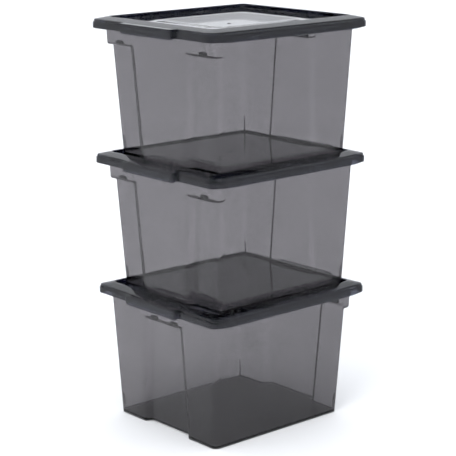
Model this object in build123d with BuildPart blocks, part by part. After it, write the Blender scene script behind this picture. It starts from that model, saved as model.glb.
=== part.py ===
"""Stack of lidded storage boxes in smoke-tinted clear plastic.

Each box is two mouldings: a tapered tub and a snap-over lid with a raised rim.
The foot of one tub sits inside the rim of the lid below it, and alternate tubs
are turned half a turn about the vertical.

Frame: origin at the centre of the stack's footprint, on the surface it stands
on.  +X runs along the long sides, +Y along the short sides, +Z up.  Millimetres.
"""

import os
from math import radians, sqrt, tan

from build123d import *

# ---------------------------------------------------------------- the stack
level_names = ("bottom", "middle", "top")
seat_gap = 0.25             # air between a tub's foot and the lid it stands on
flange_gap = 0.3            # air between a tub's flange and the lid's shoulder
edge_gap = 0.6              # air between a tub's top edge and the lid's rim

# ---------------------------------------------------------------- the tub
tub_base_len = 342.0        # outside of the foot along X
tub_base_wid = 297.0        # outside of the foot along Y
tub_height = 272.1          # foot to the top edge of the wall
end_draft = 1.86            # degrees, the two end walls lean out by this
side_draft = 3.79           # degrees, the two side walls lean out by this
tub_wall = 1.8
tub_corner = 12.0           # outside radius of the upright corners
floor_rise = 3.4            # underside of the floor above the foot
floor_thick = 2.0

# ledge and recesses that let empty tubs nest one way and stack the other
ledge_drop = 51.5           # ledge below the tub's top edge
middle_depth = 12.0         # middle recess into its end wall
middle_recess_base = 134.0  # its width at the foot
middle_recess_ledge = 109.0
middle_foot_rise = 3.0      # the wall in the middle recess stops above the foot
corner_base_depth = 17.0    # corner recesses into the other end wall, at the foot
corner_ledge_depth = 14.5
pad_base = 131.0            # width of the pad left between them, at the foot
pad_ledge = 166.0
recess_splay = 34.0         # degrees, recess sides off square to the end wall
recess_round = 3.5          # radius along the inside edges of a recess
recess_corner = 10.0        # upright corner between a corner recess and the side

# stops on the inner shelf that keep nested tubs from jamming
stop_length = 20.0
stop_thick = 6.0
stop_height = 7.0
middle_stop_offset = 30.0   # from the centre line, on the end with one recess
corner_stop_offset = 124.0  # from the centre line, on the end with the pad

# rim flange that carries the lid
flange_end = 17.4           # beyond the end wall's top edge
flange_side = 12.4          # beyond the side wall's top edge
flange_thick = 2.0
flange_corner = 11.0
flange_drop = 9.9           # top of the flange below the tub's top edge
lip_height = 11.0           # turned-down outer edge of the flange

# ---------------------------------------------------------------- the lid
lid_wall = 1.8
lid_corner = 13.0
skirt_clear = 0.7           # skirt to flange edge, all round
skirt_height = 12.0
band_inset = 2.4            # upper band stands in from the skirt
rim_round = 2.4             # outer top edge of the rim
plug_clear = 0.4            # lid's inner wall to the inside of the end wall
recess_depth = 9.0          # rim top down to the shelf a tub stands on
shelf_thick = 2.0
dish_depth = 6.8            # the middle of the panel hangs lower than the shelf
dish_edge = 62.0            # shelf left between the inner wall and the dish
dish_slope_run = 50.0       # horizontal run of the dish's sloping border
dish_corner = 30.0

# grip on the middle of each short side
grip_half_width = 77.0
grip_reach = 8.5            # beyond the skirt
grip_top_drop = 1.6         # below the rim top
grip_hang = 3.0             # below the skirt
grip_corner = 6.0

# ribs under the rim, outside the tub wall
rib_thick = 1.6
rib_clear = 1.0             # rib to the tub wall and to the flange
side_rib_offset = 48.0      # ribs on the long sides, from the centre line

# ---------------------------------------------------------------- worked out
end_slope = tan(radians(end_draft))
side_slope = tan(radians(side_draft))
splay_slope = tan(radians(recess_splay))
ledge_z = tub_height - ledge_drop
flange_top = tub_height - flange_drop
tub_top_len = tub_base_len + 2 * tub_height * end_slope
tub_top_wid = tub_base_wid + 2 * tub_height * side_slope
flange_len = tub_top_len + 2 * flange_end
flange_wid = tub_top_wid + 2 * flange_side

skirt_len = flange_len + 2 * (skirt_clear + lid_wall)
skirt_wid = flange_wid + 2 * (skirt_clear + lid_wall)
shoulder_z = flange_top + flange_gap + lid_wall   # outer step between the bands
rim_z = tub_height + edge_gap + lid_wall          # top of the lid's rim
skirt_z = shoulder_z - skirt_height               # bottom edge of the skirt
band_len = skirt_len - 2 * band_inset
band_wid = skirt_wid - 2 * band_inset
shelf_z = rim_z - recess_depth
seat_len = tub_base_len + 2 * (shelf_z * end_slope - tub_wall - plug_clear - lid_wall)
rim_width = (band_len - seat_len) / 2             # flat top of the rim, same all round
seat_wid = band_wid - 2 * rim_width
seat_corner = lid_corner - 3.0
pitch = shelf_z + seat_gap                        # one box to the next


def wall_length(z):
    """Outside length of the tub's wall at height z."""
    return tub_base_len + 2 * z * end_slope


def wall_width(z):
    """Outside width of the tub's wall at height z."""
    return tub_base_wid + 2 * z * side_slope


def wall_form(inset):
    """Solid inside the tub's drafted walls, drawn in by inset on every side."""
    with BuildPart() as form:
        for z in (0, tub_height):
            with BuildSketch(Plane.XY.offset(z)):
                RectangleRounded(
                    wall_length(z) - 2 * inset,
                    wall_width(z) - 2 * inset,
                    tub_corner - inset,
                )
        loft(ruled=True)
    return form.part


def recess_sides(depth, edge, z, grow):
    """Where a recess's splayed side line starts and ends, as (face x, y), (back x, y).

    edge is the y of the side where it meets the face of the end wall at height z. The
    recess lies on the +Y side of that line.
    """
    face = wall_length(z) / 2
    back = face - depth - grow
    reach = wall_length(tub_height) / 2 + tub_wall
    shifted = edge - grow * sqrt(1 + splay_slope**2)
    return (reach, shifted - (reach - face) * splay_slope), (back, shifted + (face - back) * splay_slope)


def middle_form(grow):
    """Solid of the middle recess in the -X end, larger by grow on every side."""
    with BuildPart() as form:
        for height, z, width in (
            (0, 0, middle_recess_base),
            (ledge_z + grow, ledge_z, middle_recess_ledge),
        ):
            outer, inner = recess_sides(middle_depth, -width / 2, z, grow)
            with BuildSketch(Plane.XY.offset(height)):
                Polygon(
                    (-outer[0], outer[1]),
                    (-inner[0], inner[1]),
                    (-inner[0], -inner[1]),
                    (-outer[0], -outer[1]),
                    align=None,
                )
        loft(ruled=True)
        tall = form.edges().filter_by(lambda edge: edge.bounding_box().size.Z > ledge_z / 2)
        fillet(tall.sort_by(Axis.X)[-2:], recess_round + grow)
    return form.part


def corner_form(grow):
    """Solid of the corner recess at +X +Y, larger by grow on every side.

    It wraps round the upright corner that is left beside it.
    """
    past = wall_width(tub_height) / 2 + tub_wall
    with BuildPart() as form:
        for height, z, depth, pad in (
            (0, 0, corner_base_depth, pad_base),
            (ledge_z + grow, ledge_z, corner_ledge_depth, pad_ledge),
        ):
            outer, inner = recess_sides(depth, pad / 2, z, grow)
            centre_x = inner[0] + grow - recess_corner
            centre_y = wall_width(z) / 2 - recess_corner
            radius = recess_corner - grow
            half_way = radius * sqrt(0.5)
            with BuildSketch(Plane.XY.offset(height)):
                with BuildLine():
                    Polyline(
                        (centre_x, centre_y + radius),
                        (centre_x, past),
                        (outer[0], past),
                        outer,
                        inner,
                        (centre_x + radius, centre_y),
                    )
                    ThreePointArc(
                        (centre_x + radius, centre_y),
                        (centre_x + half_way, centre_y + half_way),
                        (centre_x, centre_y + radius),
                    )
                make_face()
        loft(ruled=True)
        tall = form.edges().filter_by(lambda edge: edge.bounding_box().size.Z > ledge_z / 2)
        fillet(tall.sort_by(Axis.X)[:4].sort_by(Axis.Y)[0], recess_round + grow)
    return form.part


def wall_solid(inset):
    """Solid inside the tub's walls with the recesses taken out of it."""
    corner = corner_form(inset)
    with BuildPart() as solid:
        add(wall_form(inset))
        add([middle_form(inset), corner, corner.mirror(Plane.XZ)], mode=Mode.SUBTRACT)
    return solid.part


def make_flange():
    """Flat flange round the wall with its outer edge turned down."""
    bottom = flange_top - flange_thick
    with BuildPart() as flange:
        with BuildSketch(Plane.XY.offset(bottom)):
            RectangleRounded(flange_len, flange_wid, flange_corner)
            RectangleRounded(
                wall_length(bottom) - tub_wall,
                wall_width(bottom) - tub_wall,
                tub_corner - tub_wall / 2,
                mode=Mode.SUBTRACT,
            )
        extrude(amount=flange_thick)
        with BuildSketch(Plane.XY.offset(flange_top - lip_height)):
            RectangleRounded(flange_len, flange_wid, flange_corner)
            RectangleRounded(
                flange_len - 2 * tub_wall,
                flange_wid - 2 * tub_wall,
                flange_corner - tub_wall,
                mode=Mode.SUBTRACT,
            )
        extrude(amount=lip_height - flange_thick)
    return flange.part


def make_stops():
    """Small blocks on the inner shelf, two at each end."""
    face = wall_length(ledge_z) / 2
    spots = []
    for side in (-1, 1):
        spots.append((middle_depth / 2 - face, side * middle_stop_offset))
        spots.append((face - corner_ledge_depth / 2, side * corner_stop_offset))
    with BuildPart() as stops:
        with BuildSketch(Plane.XY.offset(ledge_z + tub_wall)):
            with Locations(*spots):
                Rectangle(stop_thick, stop_length)
        extrude(amount=stop_height)
    return stops.part


def make_tub():
    """One tub standing on z = 0, its middle recess facing -X."""
    outside = wall_solid(0)
    inside = wall_solid(tub_wall)
    with BuildPart() as floor:
        with BuildSketch(Plane.XY.offset(floor_rise)):
            Rectangle(tub_top_len, tub_top_wid)
        extrude(amount=floor_thick)
        add(outside, mode=Mode.INTERSECT)
    with BuildPart() as foot_gap:
        with BuildSketch():
            Rectangle(tub_top_len, tub_top_wid)
        extrude(amount=middle_foot_rise)
        add(middle_form(tub_wall), mode=Mode.INTERSECT)
    with BuildPart() as tub:
        add(outside)
        add(inside, mode=Mode.SUBTRACT)
        add(foot_gap.part, mode=Mode.SUBTRACT)
        add(floor.part)
        add(make_flange())
        add(make_stops())
    return tub.part


def dish_form(drop):
    """Tapered pan in the middle of the lid's panel, its rim at shelf_z - drop."""
    with BuildPart() as form:
        for inset, depth in ((dish_edge, 0), (dish_edge + dish_slope_run, dish_depth)):
            with BuildSketch(Plane.XY.offset(shelf_z - drop - depth)):
                RectangleRounded(seat_len - 2 * inset, seat_wid - 2 * inset, dish_corner)
        loft(ruled=True)
    return form.part


def grip_form(end, steps, inset):
    """Block in front of the skirt, one step for each (low, high, back) given."""
    front = end * (skirt_len / 2 + grip_reach - inset)
    half = grip_half_width - inset
    with BuildPart() as form:
        for low, high, back in steps:
            with BuildSketch(Plane.XY.offset(low)):
                with BuildLine():
                    outline = FilletPolyline(
                        (end * back, -half),
                        (front, -half),
                        (front, half),
                        (end * back, half),
                        radius=grip_corner - inset,
                    )
                    Line(outline @ 1, outline @ 0)
                make_face()
            extrude(amount=high - low)
    return form.part


def grip_forms():
    """Solid and hollow of both grips, as two lists.

    The skirt and the band jog outwards into the grip, so the hollow runs on into
    the channel under the rim.
    """
    face = skirt_len / 2
    top = rim_z - grip_top_drop
    bottom = skirt_z - grip_hang
    overlap = lid_wall / 2
    solid_steps = (
        (bottom, shoulder_z, face - overlap),
        (shoulder_z, top, face - band_inset - overlap),
    )
    hollow_steps = (
        (bottom, shoulder_z - lid_wall, face - lid_wall),
        (shoulder_z - lid_wall, top - lid_wall, face - band_inset - lid_wall),
    )
    solids = [grip_form(end, solid_steps, 0) for end in (-1, 1)]
    hollows = [grip_form(end, hollow_steps, lid_wall) for end in (-1, 1)]
    return solids, hollows


def make_ribs():
    """Upright ribs that tie the rim plate to the upper band, two on each side."""
    low = flange_top + flange_gap + rib_clear
    end_from = wall_length(rim_z) / 2 + rib_clear
    end_to = band_len / 2 - lid_wall / 2
    side_from = wall_width(rim_z) / 2 + rib_clear
    side_to = band_wid / 2 - lid_wall / 2
    with BuildPart() as ribs:
        with BuildSketch(Plane.XY.offset(low)):
            for sx in (-1, 1):
                for sy in (-1, 1):
                    with Locations((sx * (end_from + end_to) / 2, sy * grip_half_width)):
                        Rectangle(end_to - end_from, rib_thick)
                    with Locations((sx * side_rib_offset, sy * (side_from + side_to) / 2)):
                        Rectangle(rib_thick, side_to - side_from)
        extrude(amount=rim_z - lid_wall / 2 - low)
    return ribs.part


def make_lid():
    """One lid at the height where it closes a tub that stands on z = 0."""
    solids, hollows = grip_forms()
    under_shoulder = shoulder_z - lid_wall
    under_shelf = shelf_z - shelf_thick
    with BuildPart() as lid:
        # outside: lower skirt and the upper band set in from it
        with BuildSketch(Plane.XY.offset(skirt_z)):
            RectangleRounded(skirt_len, skirt_wid, lid_corner)
        extrude(amount=skirt_height)
        with BuildSketch(Plane.XY.offset(shoulder_z)):
            RectangleRounded(band_len, band_wid, lid_corner - band_inset)
        extrude(amount=rim_z - shoulder_z)
        fillet(lid.faces().sort_by(Axis.Z)[-1].edges(), rim_round)

        # underside: everything between the skirt, the rim plate and the panel
        for low, high, length, width in (
            (skirt_z, under_shoulder, skirt_len, skirt_wid),
            (under_shoulder, rim_z - lid_wall, band_len, band_wid),
        ):
            with BuildSketch(Plane.XY.offset(low)):
                RectangleRounded(
                    length - 2 * lid_wall,
                    width - 2 * lid_wall,
                    lid_corner - band_inset - lid_wall,
                )
            extrude(amount=high - low, mode=Mode.SUBTRACT)

        # inner wall and the shelf inside the rim
        with BuildSketch(Plane.XY.offset(under_shelf)):
            RectangleRounded(
                seat_len + 2 * lid_wall,
                seat_wid + 2 * lid_wall,
                seat_corner + lid_wall,
            )
        extrude(amount=rim_z - lid_wall / 2 - under_shelf)
        with BuildSketch(Plane.XY.offset(shelf_z)):
            RectangleRounded(seat_len, seat_wid, seat_corner)
        extrude(amount=recess_depth, mode=Mode.SUBTRACT)

        add(dish_form(shelf_thick))
        add(dish_form(0), mode=Mode.SUBTRACT)
        add(solids)
        add(hollows, mode=Mode.SUBTRACT)
        add(make_ribs())
    return lid.part


# ---------------------------------------------------------------- the pieces
os.makedirs("parts", exist_ok=True)

tub_shell = make_tub()
lid_shell = make_lid()

for level, level_name in enumerate(level_names):
    base_z = level * pitch
    turn = 180 * (level > 0)      # the two upper tubs face the other way

    with BuildPart() as tub:
        with Locations(Location((0, 0, base_z), (0, 0, turn))):
            add(tub_shell)
    tub.part.label = f"{level_name}_tub"
    export_step(tub.part, f"parts/{level_name}_tub.step")

    with BuildPart() as lid:
        with Locations((0, 0, base_z)):
            add(lid_shell)
    lid.part.label = f"{level_name}_lid"
    export_step(lid.part, f"parts/{level_name}_lid.step")

print(f"lid {skirt_len:.1f} x {skirt_wid:.1f}, over grips {skirt_len + 2 * grip_reach:.1f}")
print(f"lid recess {seat_len:.1f} x {seat_wid:.1f}, rim width {rim_width:.1f}")
print(f"box height with lid {rim_z:.1f}, pitch {pitch:.2f}, stack {2 * pitch + rim_z:.1f}")
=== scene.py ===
# %% [markdown]
# # A stack of smoke-tinted storage bins
# Three clear grey bins stand on each other. Every bin is two mouldings: a tapered tub
# and a lid with a raised rim, in which the foot of the bin above stands. The packed
# model gives the place of every piece, so the first step loads it and keeps its box.

# %% Load the frame
from math import cos, radians, sin

import bpy
import numpy as np
from mathutils import Matrix, Vector


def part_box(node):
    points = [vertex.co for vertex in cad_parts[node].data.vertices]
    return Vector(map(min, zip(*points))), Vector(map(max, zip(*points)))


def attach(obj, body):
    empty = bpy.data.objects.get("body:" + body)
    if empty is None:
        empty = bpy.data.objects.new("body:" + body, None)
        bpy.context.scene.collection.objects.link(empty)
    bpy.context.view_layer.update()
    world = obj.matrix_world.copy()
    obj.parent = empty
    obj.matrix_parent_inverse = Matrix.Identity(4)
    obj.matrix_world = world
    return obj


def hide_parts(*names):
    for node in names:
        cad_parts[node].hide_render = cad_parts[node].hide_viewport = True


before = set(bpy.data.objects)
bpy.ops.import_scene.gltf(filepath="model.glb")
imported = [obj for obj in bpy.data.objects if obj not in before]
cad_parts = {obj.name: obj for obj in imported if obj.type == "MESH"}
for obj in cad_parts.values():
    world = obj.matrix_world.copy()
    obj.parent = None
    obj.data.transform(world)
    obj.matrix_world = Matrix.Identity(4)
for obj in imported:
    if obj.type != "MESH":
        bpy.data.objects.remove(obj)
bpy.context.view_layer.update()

# %% [markdown]
# ## The sizes of one bin
# All three bins come from one pair of moulds, so one set of sizes is enough. The overall
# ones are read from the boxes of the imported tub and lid, and the others are the walls,
# steps and radii of the mouldings. Everything is in metres, so mm is a thousandth.

# %% Sizes read from the frame
mm = 0.001
tub_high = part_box("bottom_tub")[1]
lid_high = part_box("bottom_lid")[1]
next_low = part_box("middle_tub")[0]

tub_height = tub_high.z
pitch = next_low.z
flange_x = tub_high.x
flange_y = tub_high.y
skirt_y = lid_high.y
front_x = lid_high.x
rim_z = lid_high.z
print(f"tub {tub_height:.4f} high, one bin to the next {pitch:.4f}, lid top {rim_z:.4f}")

# %% Sizes of the tub moulding
wall = 1.8 * mm
base_x = 171.0 * mm
base_y = 148.5 * mm
end_slope = 0.03247
side_slope = 0.06625
corner = 12.0 * mm
floor_under = 2.6 * mm
floor_top = 5.4 * mm
ledge_z = tub_height - 51.5 * mm
middle_depth = 12.0 * mm
middle_base, middle_ledge = 67.0 * mm, 54.5 * mm
middle_foot = 3.0 * mm
corner_base, corner_ledge = 17.0 * mm, 14.5 * mm
pad_base, pad_ledge = 65.5 * mm, 83.0 * mm
splay = 0.6745
recess_round = 3.5 * mm
recess_corner = 10.0 * mm
ledge_in, ledge_out = 3.0 * mm, 4.0 * mm
flange_top = tub_height - 9.9 * mm
flange_thick = 2.0 * mm
lip_height = 11.0 * mm

# %% Sizes of the lid moulding
grip_reach = 8.5 * mm
skirt_x = front_x - grip_reach
band_inset = 2.4 * mm
shoulder_z = flange_top + 0.3 * mm + wall
skirt_z = shoulder_z - 12.0 * mm
shelf_z = pitch - 0.25 * mm
seat_x = base_x + shelf_z * end_slope - 2 * wall - 0.4 * mm
rim_width = skirt_x - band_inset - seat_x
seat_y = skirt_y - band_inset - rim_width
dish_depth = 6.8 * mm
dish_edge = 62.0 * mm
dish_run = 50.0 * mm
dish_corner, dish_low_corner = 30.0 * mm, 22.0 * mm
panel_thick = 2.0 * mm
grip_half = 77.0 * mm
rim_fall = 5.0 * mm
grip_drop = rim_fall + 0.4 * mm
grip_hang = 3.0 * mm
print(f"recess in the lid {2 * seat_x:.4f} x {2 * seat_y:.4f}, rim {rim_width:.4f} wide")

# %% [markdown]
# ## Shells from rings
# A moulding is one closed skin. It is drawn here as rings: closed outlines, all with the
# same number of points, stacked from the middle of the underside, out and up over the
# outside, and back down the inside. Each point of a ring is a weighted sum of the ring's
# sizes, such as its half length or the depth of its recess. The weights are the same for
# every ring, so a whole shell is one product of two arrays.

# %% The sizes that describe one ring
NAMES = (
    "half_x half_y corner_front corner_rear deep_front deep_rear bend middle pad "
    "splay_front splay_rear z_face z_front z_rear"
).split()
BASIS = dict(zip(NAMES, np.eye(len(NAMES))))


def ring(**sizes):
    """One ring as an array of its sizes, in the order of NAMES; what isn't given is 0."""
    return np.array([sizes.get(name, 0.0) for name in NAMES])


# %% The weights of every point
def line(start, end, steps):
    """Rows of weights going evenly from start to end, without either end."""
    t = np.linspace(0, 1, steps + 2)[1:-1, None]
    return (1 - t) * start + t * end


ROUND = np.linspace(0, np.pi / 2, 7)[:, None]     # a quarter turn in six steps
COS, SIN = np.cos(ROUND), np.sin(ROUND)


def bend(before, corner, after, steps=6):
    """Weights of a rounded corner: (1-t)^2 a + 2 t (1-t) c + t^2 b, with both ends."""
    t = np.linspace(0, 1, steps)[:, None, None]
    return (1 - t) ** 2 * before + 2 * t * (1 - t) * corner + t ** 2 * after


def half_end(inner_x, outer_x, edge, width, corner, straight=6):
    """Half an end with one splayed step, from its centre line to the upright corner.

    inner_x is x on the centre line and outer_x is x past the step.  The step runs from
    y = edge to y = edge + width, and both its bends are rounded.
    Returns the weights of x, of y, and how much of the step each point has taken.
    """
    b = BASIS
    start = np.array([inner_x, edge])
    stop = np.array([outer_x, edge + width])
    across = 0.3 * (stop - start)
    along = np.array([0 * edge, b["bend"]])
    first = bend(start - along, start, start + across)
    second = bend(stop - across, stop, stop + along)
    x = [
        line(inner_x, inner_x, straight),
        first[:, 0],
        second[:, 0],
        line(outer_x, outer_x, straight),
    ]
    y = [
        line(0 * edge, edge - b["bend"], straight),
        first[:, 1],
        second[:, 1],
        line(edge + width + b["bend"], b["half_y"] - corner, straight),
    ]
    t = np.linspace(0, 1, 6)
    step = [np.zeros(straight), 0.3 * t ** 2, 1 - 0.3 * (1 - t) ** 2, np.ones(straight)]
    return np.vstack(x), np.vstack(y), np.concatenate(step)


def pad_end(front=True):
    """Half an end whose middle stands proud by deep."""
    b = BASIS
    end = "front" if front else "rear"
    past = b["half_x"] - b["deep_" + end]
    return half_end(b["half_x"], past, b["pad"], b["splay_" + end], b["corner_" + end])


def notch_end():
    """Half an end with a recess of depth deep_rear in its middle."""
    b = BASIS
    inner_y = b["middle"] - b["splay_rear"]
    x, y, step = half_end(
        b["half_x"] - b["deep_rear"], b["half_x"], inner_y, b["splay_rear"], b["corner_rear"])
    return x, y, 1 - step


def outline(front, rear, side_steps=20):
    """Weights of a whole ring, anticlockwise from the middle of the +X end.

    front and rear are half ends.  Half a ring is the front end, a quarter-circle
    corner, the long side, a corner and the rear end turned to -X.  The other half is
    its mirror image in y.  The last two arrays say how much of the front's and of the
    rear's step in height each point takes; the long side takes it near a corner only.
    """
    b = BASIS
    front_x, front_y, front_step = front
    rear_x, rear_y, rear_step = rear
    front_r, rear_r = b["corner_front"], b["corner_rear"]
    front_side, rear_side = front_x[-1] - front_r, rear_r - rear_x[-1]
    x = np.vstack([
        front_x,
        front_side + COS * front_r,
        line(front_side, rear_side, side_steps),
        rear_side - SIN * rear_r,
        -rear_x[::-1],
    ])
    y = np.vstack([
        front_y,
        b["half_y"] - front_r + SIN * front_r,
        line(b["half_y"], b["half_y"], side_steps),
        b["half_y"] - rear_r + COS * rear_r,
        rear_y[::-1],
    ])
    along = np.linspace(0, 1, side_steps + 2)[1:-1]
    turn = np.ones(len(ROUND))
    front_z = np.concatenate([
        front_step, front_step[-1] * turn,
        front_step[-1] * np.clip(1 - along / 0.1, 0, 1) ** 2,
        0 * turn, 0 * rear_step,
    ])
    rear_z = np.concatenate([
        0 * front_step, 0 * turn,
        rear_step[-1] * np.clip(1 - (1 - along) / 0.1, 0, 1) ** 2,
        rear_step[-1] * turn, rear_step[::-1],
    ])
    return (
        np.vstack([x, x[::-1]]),
        np.vstack([y, -y[::-1]]),
        np.concatenate([front_z, front_z[::-1]]),
        np.concatenate([rear_z, rear_z[::-1]]),
    )


tub_outline = outline(pad_end(), notch_end())
lid_outline = outline(pad_end(), pad_end(front=False))
print("points in a ring of the tub:", len(tub_outline[0]), "of the lid:", len(lid_outline[0]))

# %% [markdown]
# A path through the rings is drawn as a few corner rings with a radius at each. The
# radius becomes a short curve: a quadratic one, which starts a radius before the corner
# ring and ends a radius after it. Because a ring is only a row of numbers, rounding the
# path rounds every wall, ledge and rim at once.

# %% Round a path of rings
def reach(a, b):
    """How far apart two rings are, by the largest change of place."""
    d = dict(zip(NAMES, b - a))
    across = [d["half_x"], d["half_y"], d["half_x"] - d["deep_front"], d["half_x"] - d["deep_rear"]]
    up = [d["z_face"], d["z_front"], d["z_rear"]]
    return float(np.hypot(max(map(abs, across)), max(map(abs, up))))


def rounded(path, steps=5):
    """Rings along a path of (ring, radius), each corner turned into a curve.

    The curve is (1-t)^2 a + 2 t (1-t) c + t^2 b, with c the corner ring and a and b
    the points one radius before and after it on the straight stretches.
    """
    rings = [path[0][0]]
    t = np.linspace(0, 1, steps)[:, None]
    for (before, _), (here, radius), (after, _) in zip(path, path[1:], path[2:]):
        a = here + (before - here) * min(radius / reach(before, here), 0.48)
        b = here + (after - here) * min(radius / reach(here, after), 0.48)
        rings.append((1 - t) ** 2 * a + 2 * t * (1 - t) * here + t ** 2 * b)
    rings.append(path[-1][0])
    return np.vstack(rings)


def points(rings, weights):
    """The rings' points as an array (ring, point, xyz).

    x and y are the weights times the sizes.  z is z_face, plus the front's and the
    rear's share of the way to z_front and z_rear.
    """
    x_weights, y_weights, front_z, rear_z = weights
    face, front, rear = (rings[:, NAMES.index(n), None] for n in ("z_face", "z_front", "z_rear"))
    z = face + (front - face) * front_z + (rear - face) * rear_z
    return np.stack([rings @ x_weights.T, rings @ y_weights.T, z], axis=2)


def skin(stack):
    """Points, quads and caps of a closed shell: point i of a ring meets i of the next."""
    count, size, _ = stack.shape
    here = np.arange(size)
    after = (here + 1) % size
    row = (np.arange(count - 1) * size)[:, None]
    quads = np.stack([row + here, row + after, row + size + after, row + size + here], axis=2)
    caps = [here[::-1], (count - 1) * size + here]
    return stack.reshape(-1, 3), quads.reshape(-1, 4), caps


# %% [markdown]
# ## The tub
# The tub's two ends differ. One has a single recess in its middle, the other has a
# recess at each corner, which leaves a pad standing proud between them. Each recess runs
# from the foot up to a ledge. Turned the same way, empty tubs nest; turned half way
# round, the ledges meet and the tubs stack. The path of rings starts under the floor,
# goes round the foot, up the wall, over the ledge, out and back round the flange with
# its turned-down lip, over the top edge, and down the inside to the floor.

# %% One ring of the tub
def tub_ring(z, inset=0.0, over=None, deep=1.0, back_z=None, rear_z=None, bend=None):
    """A ring of the tub's wall at height z.

    half = base + slope * z - inset, and every other size is straight-line between its
    value at the foot and at the ledge.  over replaces the half sizes, for the flange.
    deep is the share of the recesses' depth that the ring has.
    """
    up = min(z, ledge_z) / ledge_z
    half_x, half_y = over or (base_x + end_slope * z - inset, base_y + side_slope * z - inset)
    side = inset * (1 + splay ** 2) ** 0.5
    front = deep * (corner_base + (corner_ledge - corner_base) * up)
    rear = deep * middle_depth
    back_z = z if back_z is None else back_z
    return ring(
        half_x=half_x,
        half_y=half_y,
        corner_front=(deep * recess_corner + (1 - deep) * corner) - min(inset, 6 * mm),
        corner_rear=corner - min(inset, 6 * mm),
        deep_front=front,
        deep_rear=rear,
        splay_front=front * splay,
        splay_rear=rear * splay,
        bend=recess_round if bend is None else bend,
        middle=middle_base + (middle_ledge - middle_base) * up + side - inset * splay,
        pad=pad_base + (pad_ledge - pad_base) * up - side + inset * splay,
        z_face=z,
        z_front=back_z,
        z_rear=back_z if rear_z is None else rear_z,
    )


# %% The path of rings
def tub_path():
    """Corner rings of the tub with the radius at each, from the underside to the floor."""
    under = flange_top - flange_thick
    lip = flange_top - lip_height
    outer, inner = (flange_x, flange_y), (flange_x - wall, flange_y - wall)
    shelf = ledge_z + wall
    edge = 0.5 * mm
    return [
        (tub_ring(floor_under, inset=wall + 5 * mm), 0),
        (tub_ring(floor_under, inset=wall), edge),
        (tub_ring(0, inset=wall, rear_z=middle_foot), edge),
        (tub_ring(0, rear_z=middle_foot), 2 * edge),
        (tub_ring(30 * mm), 0.1 * mm),
        (tub_ring(ledge_z + 1 * mm, back_z=ledge_z), ledge_in),
        (tub_ring(ledge_z + 5 * mm, deep=0, back_z=ledge_z), ledge_out),
        (tub_ring(ledge_z + 25 * mm, deep=0), 0.1 * mm),
        (tub_ring(under, deep=0), 2 * edge),
        (tub_ring(under, over=inner, deep=0), edge),
        (tub_ring(lip, over=inner, deep=0), edge),
        (tub_ring(lip, over=outer, deep=0), edge),
        (tub_ring(flange_top, over=outer, deep=0), 2 * edge),
        (tub_ring(flange_top, deep=0), 2 * edge),
        (tub_ring(tub_height, deep=0), edge),
        (tub_ring(tub_height, inset=wall, deep=0), edge),
        (tub_ring(shelf + 25 * mm, inset=wall, deep=0), 0.1 * mm),
        (tub_ring(shelf + 5 * mm, inset=wall, deep=0, back_z=shelf), ledge_in),
        (tub_ring(shelf + 1 * mm, inset=wall, back_z=shelf), ledge_out),
        (tub_ring(30 * mm, inset=wall), 0.1 * mm),
        (tub_ring(floor_top, inset=wall), 4 * edge),
        (tub_ring(floor_top, inset=wall + 6 * mm), 0),
    ]


tub_stack = points(rounded(tub_path()), tub_outline)
print("rings in the tub:", len(tub_stack))

# %% [markdown]
# Three kinds of small part sit on the shell: the stops on the inner shelf, which keep
# nested tubs from jamming, a thin fin low in each upright corner, and the gate mark, the
# pip that the sprue leaves in the middle of the floor. They are rings too.

# %% Stops, fins and gate marks
def block(centre, half, top_round=1.2 * mm, around=28):
    """A small rounded block as a closed shell of rings.

    Each ring is a superellipse |x/a|^5 + |y/b|^5 = 1, drawn by its angle.
    """
    angle = np.linspace(0, 2 * np.pi, around, endpoint=False)
    power = 2 / 5
    x = np.sign(np.cos(angle)) * np.abs(np.cos(angle)) ** power
    y = np.sign(np.sin(angle)) * np.abs(np.sin(angle)) ** power
    turn = np.linspace(0, np.pi / 2, 5)
    narrowing = 1 - (1 - np.cos(turn)) * top_round / min(half[:2])
    shrink = np.concatenate([[0.4, 1, 1], narrowing, [0.3]])
    height = np.concatenate([[-1, -1, -0.5], 1 - (1 - np.sin(turn)) * top_round / half[2], [1]])
    stack = np.stack([
        centre[0] + half[0] * shrink[:, None] * x,
        centre[1] + half[1] * shrink[:, None] * y,
        centre[2] + half[2] * height[:, None] + 0 * x,
    ], axis=2)
    return stack


def gate(z, radius=4.0 * mm, rise=0.7 * mm, around=32):
    """The sprue's pip: a flat disc with a raised rim, a profile turned about z.

    Its radius and height go along the profile, x = r cos(a) and y = r sin(a).
    """
    angle = np.linspace(0, 2 * np.pi, around, endpoint=False)
    share = np.array([0.5, 0.98, 1, 0.97, 0.85, 0.7, 0.6, 0.5, 0.2])
    height = np.array([-0.4, -0.4, 0.2, 0.9, 1.0, 0.9, 0.45, 0.3, 0.3])
    return np.stack([
        radius * share[:, None] * np.cos(angle),
        radius * share[:, None] * np.sin(angle),
        z + rise * height[:, None] + 0 * angle,
    ], axis=2)


stop_half = np.array([3.0, 10.0, 3.6]) * mm
stop_x = base_x + end_slope * ledge_z
stop_z = ledge_z + wall + stop_half[2] - 0.3 * mm
stops = [(middle_depth / 2 - stop_x, 30 * mm * side) for side in (-1, 1)]
stops += [(stop_x - corner_ledge / 2, 124 * mm * side) for side in (-1, 1)]


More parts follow.
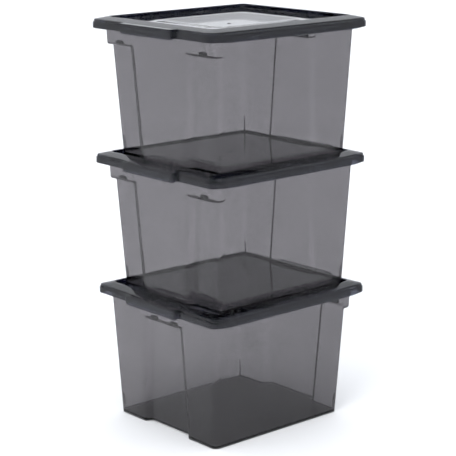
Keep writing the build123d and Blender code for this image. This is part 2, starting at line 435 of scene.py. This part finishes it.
def corner_fin(side_x, side_y, height=34 * mm, reach_in=5.0 * mm, half_thick=1.3 * mm, around=20):
    """A thin upright fin in the hollow of an upright corner, standing on the floor.

    Its outline is a narrow superellipse.  At height z it lies on the corner's diagonal,
    at the inner radius from the corner's centre, and the centre leans out with the walls.
    """
    angle = np.linspace(0, 2 * np.pi, around, endpoint=False)
    deep = 0.5 * (reach_in + 0.8 * mm) * np.sign(np.cos(angle)) * np.abs(np.cos(angle)) ** 0.5
    thick = half_thick * np.sign(np.sin(angle)) * np.abs(np.sin(angle)) ** 0.5
    rise = np.array([0, 0, 0.15, 0.4, 0.7, 0.92, 1.0, 1.0])[:, None] * height
    full = np.array([0.5, 1, 1, 1, 1, 0.9, 0.5, 0.2])[:, None]
    z = floor_top - 0.3 * mm + rise
    outer = recess_corner if side_x > 0 else corner
    depth = corner_base + (corner_ledge - corner_base) * z / ledge_z if side_x > 0 else 0.0
    centre_x = base_x + end_slope * z - depth - outer
    centre_y = base_y + side_slope * z - outer
    along = outer - wall + 0.8 * mm - 0.5 * (reach_in + 0.8 * mm) + full * deep
    x = side_x * (centre_x + (along - full * thick) * 0.5 ** 0.5)
    y = side_y * (centre_y + (along + full * thick) * 0.5 ** 0.5)
    stack = np.stack([x, y, z + 0 * x], axis=2)
    return stack if side_x * side_y > 0 else stack[:, ::-1]


tub_extras = [block((x, y, stop_z), stop_half) for x, y in stops]
tub_extras += [corner_fin(sx, sy) for sx in (-1, 1) for sy in (-1, 1)]
tub_extras.append(gate(floor_top))
print("stops at", [(round(x, 3), round(y, 3)) for x, y in stops])

# %% [markdown]
# ## The lid
# The lid is a shallow tray. Its raised rim is a channel, open underneath, that drops
# over the tub's edge; outside it has an upper band and a wider skirt. In the middle of
# each short side the band and the skirt jog outwards into a grip, which starts a little
# below the rim and hangs a little below the skirt. The rim's top falls to its outer edge.
# Inside the rim is a flat shelf for the next bin's foot, and well inside the shelf the
# panel sinks with a gentle slope to a shallow dish. The dish hardly shows by its shape:
# it shows because the flat shelf mirrors the dark rim, and the dish mirrors the sky.

# %% One ring of the lid
def lid_ring(half_x, half_y, z, grip=None, grip_z=None, inset=0.0, radius=None):
    """A ring of the lid with its half sizes and height away from the grips.

    grip is how far the grip's face stands from the centre, and grip_z its height; left
    out, the ring has no grip.  pad is where the grip's side would be, kept short of the
    rounded corner on the small rings of the dish, so that no ring folds over.
    """
    face_x = half_x if grip is None else grip
    round_here = 13 * mm - (skirt_x - half_x) if radius is None else radius
    proud = face_x - half_x
    return ring(
        half_x=face_x,
        half_y=half_y,
        corner_front=round_here,
        corner_rear=round_here,
        deep_front=proud,
        deep_rear=proud,
        splay_front=0.3 * mm,
        splay_rear=0.3 * mm,
        bend=min(4 * mm, 0.5 * proud),
        pad=min(grip_half - inset, 0.5 * (half_y - round_here)),
        z_face=z if grip_z is None else grip_z,
        z_front=z,
        z_rear=z,
    )


# %% The rim, the band and the skirt
def rim_path():
    """Corner rings from under the shelf, round the channel and skirt, to the shelf."""
    w = wall
    band_x, band_y = skirt_x - band_inset, skirt_y - band_inset
    grip_top, grip_low = rim_z - grip_drop, skirt_z - grip_hang
    under_x, under_y = seat_x + w, seat_y + w
    seat_r = 10 * mm
    edge = 0.5 * mm
    inner, outer = front_x - w, front_x
    under_z = rim_z - rim_fall - w
    return [
        (lid_ring(under_x - 5 * mm, under_y - 5 * mm, shelf_z - panel_thick, radius=seat_r), 0),
        (lid_ring(under_x, under_y, shelf_z - panel_thick, radius=seat_r + w), 2 * edge),
        (lid_ring(under_x, under_y, rim_z - w, radius=seat_r + w), edge),
        (lid_ring(band_x - w, band_y - w, under_z, band_x - w + 0.2 * mm, under_z, w), edge),
        (lid_ring(band_x - w, band_y - w, under_z - 1.0 * mm,
                  band_x - w + 0.2 * mm, under_z - 0.6 * mm, w), edge),
        (lid_ring(band_x - w, band_y - w, shoulder_z - w, inner, under_z - 0.6 * mm, w), edge),
        (lid_ring(skirt_x - w, skirt_y - w, shoulder_z - w, inner, shoulder_z - w, w), edge),
        (lid_ring(skirt_x - w, skirt_y - w, skirt_z, inner, grip_low, w), edge),
        (lid_ring(skirt_x, skirt_y, skirt_z, outer, grip_low), edge),
        (lid_ring(skirt_x, skirt_y, shoulder_z, outer, shoulder_z), 2 * edge),
        (lid_ring(band_x, band_y, shoulder_z, outer, shoulder_z + 2 * mm), edge),
        (lid_ring(band_x, band_y, grip_top - 1.6 * mm, outer, grip_top), 4 * edge),
        (lid_ring(band_x, band_y, grip_top - 0.8 * mm,
                  band_x + 0.2 * mm, grip_top - 0.1 * mm), edge),
        (lid_ring(band_x - 1.0 * mm, band_y - 1.0 * mm, rim_z - rim_fall), 3 * edge),
        (lid_ring(seat_x + 3 * mm, seat_y + 3 * mm, rim_z, radius=seat_r + 3 * mm), 4 * edge),
        (lid_ring(seat_x, seat_y, rim_z - 0.8 * mm, radius=seat_r), 3 * edge),
        (lid_ring(seat_x, seat_y, shelf_z, radius=seat_r), 3 * edge),
        (lid_ring(seat_x - 4 * mm, seat_y - 4 * mm, shelf_z, radius=seat_r), 0),
    ]


rim_stack = points(rounded(rim_path()), lid_outline)
print("rings in the lid's rim:", len(rim_stack))

# %% The dished panel
def dish_path(drop):
    """Corner rings of the panel from the shelf to the middle, drop below its surface."""
    floor_z = shelf_z - drop - dish_depth
    top_x, top_y = seat_x - dish_edge, seat_y - dish_edge
    low_x, low_y = seat_x - dish_edge - dish_run, seat_y - dish_edge - dish_run
    return [
        (lid_ring(seat_x - 6 * mm, seat_y - 6 * mm, shelf_z - drop, radius=14 * mm), 0),
        (lid_ring(top_x, top_y, shelf_z - drop, radius=dish_corner), 8 * mm),
        (lid_ring(low_x, low_y, floor_z, radius=dish_low_corner), 10 * mm),
        (lid_ring(low_x - 30 * mm, low_y - 30 * mm, floor_z, radius=8 * mm), 0),
    ]


upper_dish = points(rounded(dish_path(0), steps=9), lid_outline)
under_dish = points(rounded(dish_path(panel_thick), steps=9), lid_outline)[::-1]
lid_stack = np.concatenate([under_dish, rim_stack, upper_dish])
print("rings in the lid:", len(lid_stack))

# %% [markdown]
# Under the rim, thin ribs tie the band to the rim's plate. Through the clear plastic
# they show as short dark uprights.

# %% Ribs under the rim
def rib(x, y, half_x, half_y):
    """One upright rib as a rounded block from above the flange to the rim's plate."""
    low = flange_top + 1.3 * mm
    high = rim_z - rim_fall - wall / 2
    centre = (x, y, (low + high) / 2)
    return block(centre, (half_x, half_y, (high - low) / 2), top_round=0.3 * mm)


end_rib = (base_x + end_slope * rim_z + 1 * mm, skirt_x - band_inset - wall / 2)
side_rib = (base_y + side_slope * rim_z + 1 * mm, skirt_y - band_inset - wall / 2)
lid_extras = [gate(shelf_z - dish_depth)]
for sx in (-1, 1):
    for sy in (-1, 1):
        lid_extras.append(rib(sx * sum(end_rib) / 2, sy * grip_half,
                              (end_rib[1] - end_rib[0]) / 2, 0.8 * mm))
        lid_extras.append(rib(sx * 48 * mm, sy * sum(side_rib) / 2,
                              0.8 * mm, (side_rib[1] - side_rib[0]) / 2))
print("extras on a lid:", len(lid_extras))

# %% [markdown]
# ## From arrays to objects
# The shells become meshes once, turned and raised for each bin, and every mesh rides on
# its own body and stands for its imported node.

# %% Make a mesh
def make_piece(name, stacks, turn, lift):
    """One mesh object from stacks of rings, turned about z by turn and raised by lift."""
    verts, faces, offset = [], [], 0
    for stack in stacks:
        co, quads, caps = skin(stack)
        verts.append(co)
        faces += (quads + offset).tolist() + [(cap + offset).tolist() for cap in caps]
        offset += len(co)
    co = np.concatenate(verts)
    if turn:
        co = co * np.array([-1.0, -1.0, 1.0])
    co = co + np.array([0, 0, lift])
    mesh = bpy.data.meshes.new(name)
    mesh.from_pydata(co.tolist(), [], faces)
    mesh.validate()
    mesh.polygons.foreach_set("use_smooth", np.ones(len(mesh.polygons), bool))
    mesh.update()
    piece = bpy.data.objects.new(name, mesh)
    bpy.context.scene.collection.objects.link(piece)
    return piece


# %% [markdown]
# ## Smoke-tinted plastic
# The plastic is clear all through, and its colour comes from the light it swallows on
# the way: Volume Absorption takes off more where the way is long. So a wall seen square
# on is pale grey, and a rim, a ledge or an edge seen along its length is nearly black.
# The surface is glossy, with the faint waviness and the fine scuffs of a moulding. The
# lid swallows more than the tub. The index of refraction is a little low for a plastic,
# because under an all-white sky the rims would otherwise shine too much.

# %% The plastic
def plastic(name, tint, density, haze):
    """Clear moulded plastic: refraction, absorption by depth, waviness and scuffs."""
    material = bpy.data.materials.new(name)
    material.use_nodes = True
    tree = material.node_tree
    nodes, links = tree.nodes, tree.links
    nodes.clear()
    out = nodes.new("ShaderNodeOutputMaterial")
    shader = nodes.new("ShaderNodeBsdfPrincipled")
    shader.inputs["Transmission Weight"].default_value = 1.0
    shader.inputs["IOR"].default_value = 1.37
    place = nodes.new("ShaderNodeTexCoord")
    flow = nodes.new("ShaderNodeTexNoise")
    flow.inputs["Scale"].default_value = 9.0
    flow.inputs["Detail"].default_value = 1.0
    scuff = nodes.new("ShaderNodeTexNoise")
    scuff.inputs["Scale"].default_value = 140.0
    scuff.inputs["Detail"].default_value = 5.0
    gloss = nodes.new("ShaderNodeMapRange")
    gloss.inputs["From Min"].default_value = 0.45
    gloss.inputs["From Max"].default_value = 0.75
    gloss.inputs["To Min"].default_value = haze
    gloss.inputs["To Max"].default_value = haze + 0.06
    tone = nodes.new("ShaderNodeMapRange")
    tone.inputs["To Min"].default_value = 0.93
    tone.inputs["To Max"].default_value = 1.0
    grey = nodes.new("ShaderNodeCombineColor")
    bump = nodes.new("ShaderNodeBump")
    bump.inputs["Strength"].default_value = 0.06
    bump.inputs["Distance"].default_value = 0.004
    for noise in (flow, scuff):
        links.new(place.outputs["Object"], noise.inputs["Vector"])
    links.new(flow.outputs["Fac"], bump.inputs["Height"])
    links.new(bump.outputs["Normal"], shader.inputs["Normal"])
    links.new(scuff.outputs["Fac"], gloss.inputs["Value"])
    links.new(gloss.outputs["Result"], shader.inputs["Roughness"])
    links.new(flow.outputs["Fac"], tone.inputs["Value"])
    for channel in ("Red", "Green", "Blue"):
        links.new(tone.outputs["Result"], grey.inputs[channel])
    links.new(grey.outputs["Color"], shader.inputs["Base Color"])
    smoke = nodes.new("ShaderNodeVolumeAbsorption")
    smoke.inputs["Color"].default_value = (*tint, 1.0)
    smoke.inputs["Density"].default_value = density
    links.new(shader.outputs["BSDF"], out.inputs["Surface"])
    links.new(smoke.outputs["Volume"], out.inputs["Volume"])
    return material


tub_plastic = plastic("smoke_tub_plastic", (0.285, 0.262, 0.285), 610.0, 0.015)
lid_plastic = plastic("smoke_lid_plastic", (0.17, 0.21, 0.36), 1300.0, 0.02)

# %% Build the three bins
for level, level_name in enumerate(("bottom", "middle", "top")):
    lift = level * pitch
    for part, stack, extras, material in (
        ("tub", tub_stack, tub_extras, tub_plastic),
        ("lid", lid_stack, lid_extras, lid_plastic),
    ):
        node = f"{level_name}_{part}"
        piece = make_piece(f"{node}_shell", [stack] + extras, part == "tub" and level > 0, lift)
        piece.data.materials.append(material)
        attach(piece, node)
        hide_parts(node)
        print(piece.name, len(piece.data.polygons), "faces")

# %% [markdown]
# ## Floor, light and camera
# The bins stand on a wide white floor under an even, faintly blue sky, with one large
# soft lamp from the left. The camera is far away with a long lens, turned a little less than half
# way between an end and a long side.

# %% The floor
def make_floor(half=30.0):
    """A square floor at z = 0."""
    mesh = bpy.data.meshes.new("floor")
    mesh.from_pydata([(-half, -half, 0), (half, -half, 0), (half, half, 0), (-half, half, 0)],
                     [], [(0, 1, 2, 3)])
    floor = bpy.data.objects.new("floor", mesh)
    bpy.context.scene.collection.objects.link(floor)
    material = bpy.data.materials.new("floor_paint")
    material.use_nodes = True
    shader = material.node_tree.nodes["Principled BSDF"]
    shader.inputs["Base Color"].default_value = (0.93, 0.93, 0.93, 1)
    shader.inputs["Roughness"].default_value = 0.8
    mesh.materials.append(material)
    return floor


make_floor()

# %% The sky and the lamp
world = bpy.data.worlds.new("studio")
bpy.context.scene.world = world
world.use_nodes = True
world.node_tree.nodes["Background"].inputs["Color"].default_value = (0.93, 0.955, 1.0, 1)
world.node_tree.nodes["Background"].inputs["Strength"].default_value = 1.35


def soft_lamp(name, place, aim, size, power):
    """A square lamp of the given size at place, turned to face aim."""
    light = bpy.data.lights.new(name, "AREA")
    light.size = size
    light.energy = power
    lamp = bpy.data.objects.new(name, light)
    bpy.context.scene.collection.objects.link(lamp)
    facing = (Vector(aim) - Vector(place)).to_track_quat("-Z", "Y").to_matrix().to_4x4()
    lamp.matrix_world = Matrix.Translation(place) @ facing
    return lamp


soft_lamp("key", (-2.6, -1.2, 2.6), (0, 0, 0.4), 1.6, 40.0)

# %% The camera
azimuth, elevation, roll = radians(-40.98), radians(13.11), radians(-0.40)
distance = 3.204
aim = Vector((0, 0, 0.4029))
back = Vector((sin(azimuth) * cos(elevation), -cos(azimuth) * cos(elevation), sin(elevation)))
right = (-back).cross(Vector((0, 0, 1))).normalized()
up = right.cross(-back)
right, up = right * cos(roll) + up * sin(roll), up * cos(roll) - right * sin(roll)
lens = bpy.data.cameras.new("camera")
lens.lens = 127.1
lens.sensor_width = 36.0
lens.shift_x = -0.0054
lens.shift_y = -0.0214
camera = bpy.data.objects.new("camera", lens)
bpy.context.scene.collection.objects.link(camera)
turned = Matrix((right, up, back)).transposed().to_4x4()
camera.matrix_world = Matrix.Translation(aim + back * distance) @ turned
bpy.context.scene.camera = camera

# %% Settings that clear plastic needs
scene = bpy.context.scene
scene.view_settings.view_transform = "Standard"
scene.cycles.max_bounces = 40
scene.cycles.transmission_bounces = 40
scene.cycles.glossy_bounces = 12
scene.cycles.transparent_max_bounces = 24
